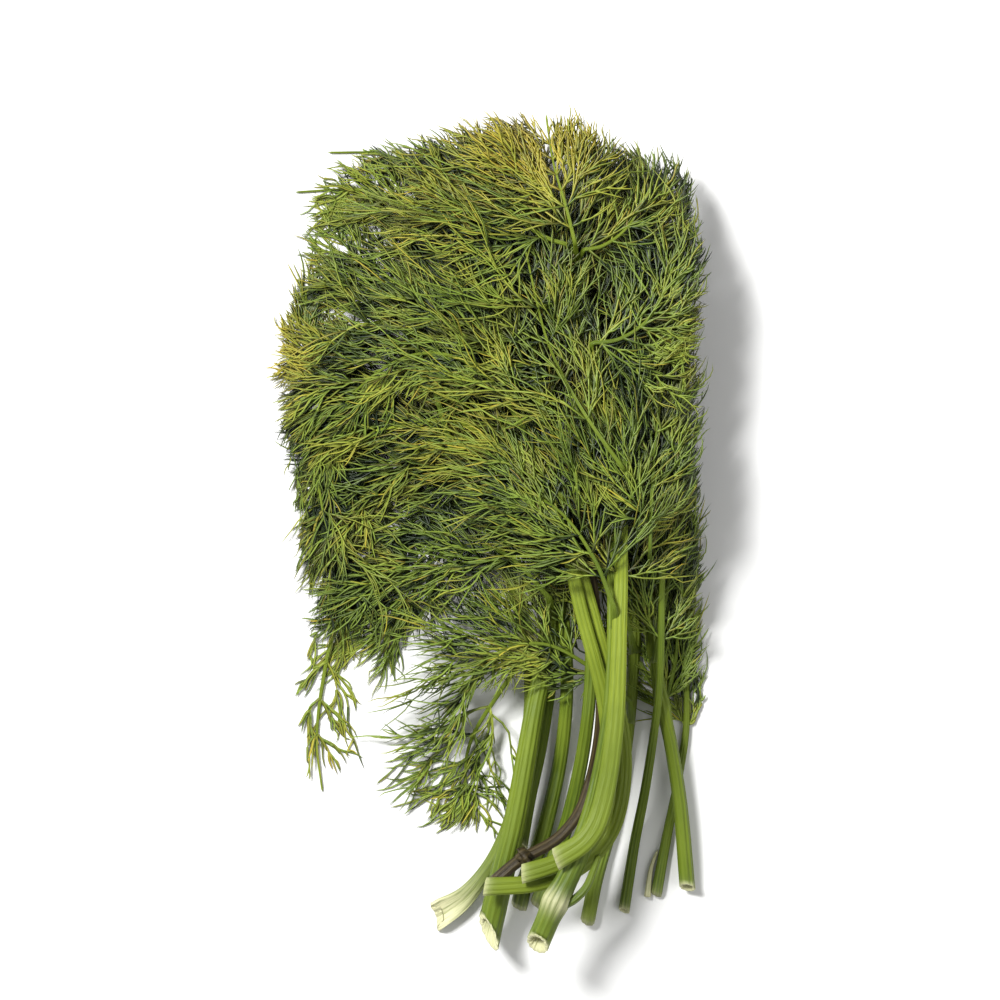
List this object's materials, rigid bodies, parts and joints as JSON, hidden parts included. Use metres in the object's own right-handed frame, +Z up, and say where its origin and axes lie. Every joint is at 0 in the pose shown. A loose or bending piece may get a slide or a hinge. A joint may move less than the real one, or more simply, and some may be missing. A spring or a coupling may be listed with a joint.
{
  "type": "dill bunch",
  "caption": "Loose bunch of fresh-cut dill lying flat: shoots with ribbed stems and single leaves of fine feathery fronds, stalks one way.",
  "frame": {"origin": "on the table, under the middle of the bunch's bounding box", "axes": "+Y from the cut stalks to the leaf tips, along the longest side; +Z up, the shortest side; +X to the right when the bunch is seen from above with its tips away"},
  "size_m": [0.0914, 0.1748, 0.0272],
  "materials": {
    "stem": "fresh ribbed green stem, pale at the cut end",
    "leaf": "soft matt green feathery leaf on a ribbed stalk",
    "wilted_leaf": "dry dark brown stalk of a wilted leaf"
  },
  "bodies": {
    "root": {"leaf_arc": "leaf", "leaf_cross": "leaf", "leaf_crown": "leaf", "leaf_crown_left": "leaf", "leaf_crown_low": "leaf", "leaf_crown_right": "leaf", "leaf_droop": "leaf", "leaf_edge": "leaf", "leaf_far_left": "leaf", "leaf_hanging": "leaf", "leaf_inner": "leaf", "leaf_left_mid": "leaf", "leaf_long_right": "leaf", "leaf_low_left": "leaf", "leaf_low_mid": "leaf", "leaf_low_right": "leaf", "leaf_lowest": "leaf", "leaf_mid_low": "leaf", "leaf_mid_top": "leaf", "leaf_node_left": "leaf", "leaf_node_right": "leaf", "leaf_plume": "leaf", "leaf_right_foot": "leaf", "leaf_right_low": "leaf", "leaf_right_mid": "leaf", "leaf_right_top": "leaf", "leaf_strap_low": "leaf", "leaf_strap_mid": "leaf", "leaf_strap_top": "leaf", "leaf_top_left": "leaf", "leaf_under": "leaf", "leaf_upper_left": "leaf", "leaf_wilted": "wilted_leaf", "stem_crown": "stem", "stem_mid": "stem", "stem_right": "stem", "stem_split": "stem", "stem_thick": "stem"}
  },
  "joints": []
}
